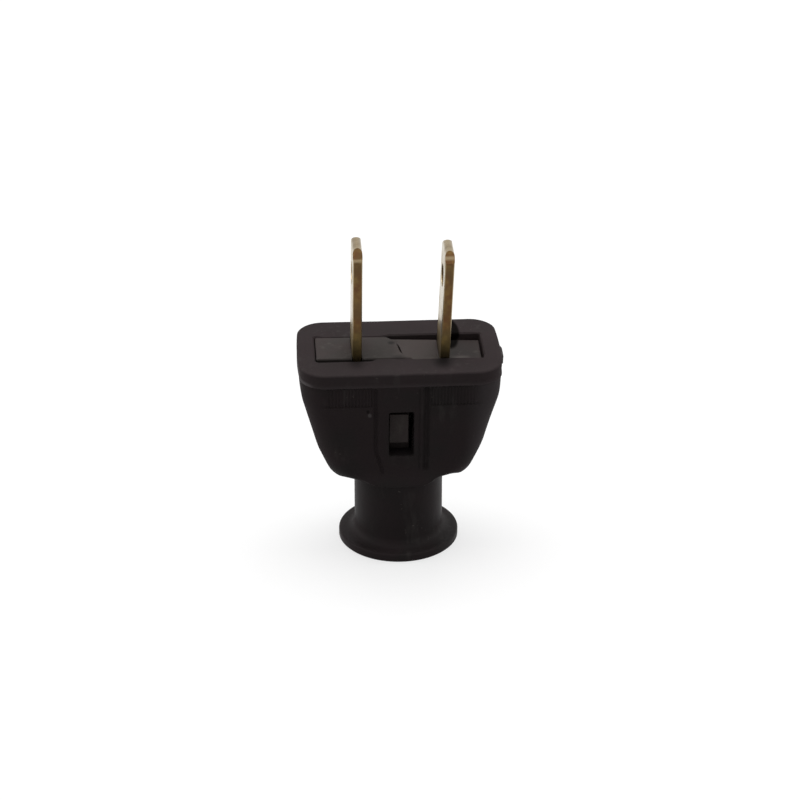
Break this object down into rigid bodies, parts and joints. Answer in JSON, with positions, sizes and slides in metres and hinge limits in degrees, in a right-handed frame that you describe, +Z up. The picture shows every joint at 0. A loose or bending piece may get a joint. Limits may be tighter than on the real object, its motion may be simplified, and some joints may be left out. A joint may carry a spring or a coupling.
{
  "type": "straight blade plug",
  "caption": "Rubber cord plug with two parallel folded brass blades held in a latched two-part core, a waisted body with ribbed grips, and a round neck and flange for the cord.",
  "frame": {"origin": "centre of the flange's underside, where the cord goes in", "axes": "+Z up from the flange towards the blades, +X along the long side of the face to the right blade as seen from the front, +Y from the front to the back"},
  "size_m": [0.0292, 0.0176, 0.0466],
  "materials": {
    "shell_rubber": "matte",
    "core_plastic": "satin",
    "blade_brass": "worn, slightly tarnished",
    "terminal_steel": "zinc plated"
  },
  "bodies": {
    "root": {"shell": "shell_rubber", "core_half_left": "core_plastic", "core_half_right": "core_plastic", "blade_left": "blade_brass", "blade_right": "blade_brass", "terminal_screw_left": "terminal_steel", "terminal_screw_right": "terminal_steel", "wire_clamp_left": "terminal_steel", "wire_clamp_right": "terminal_steel"}
  },
  "joints": []
}
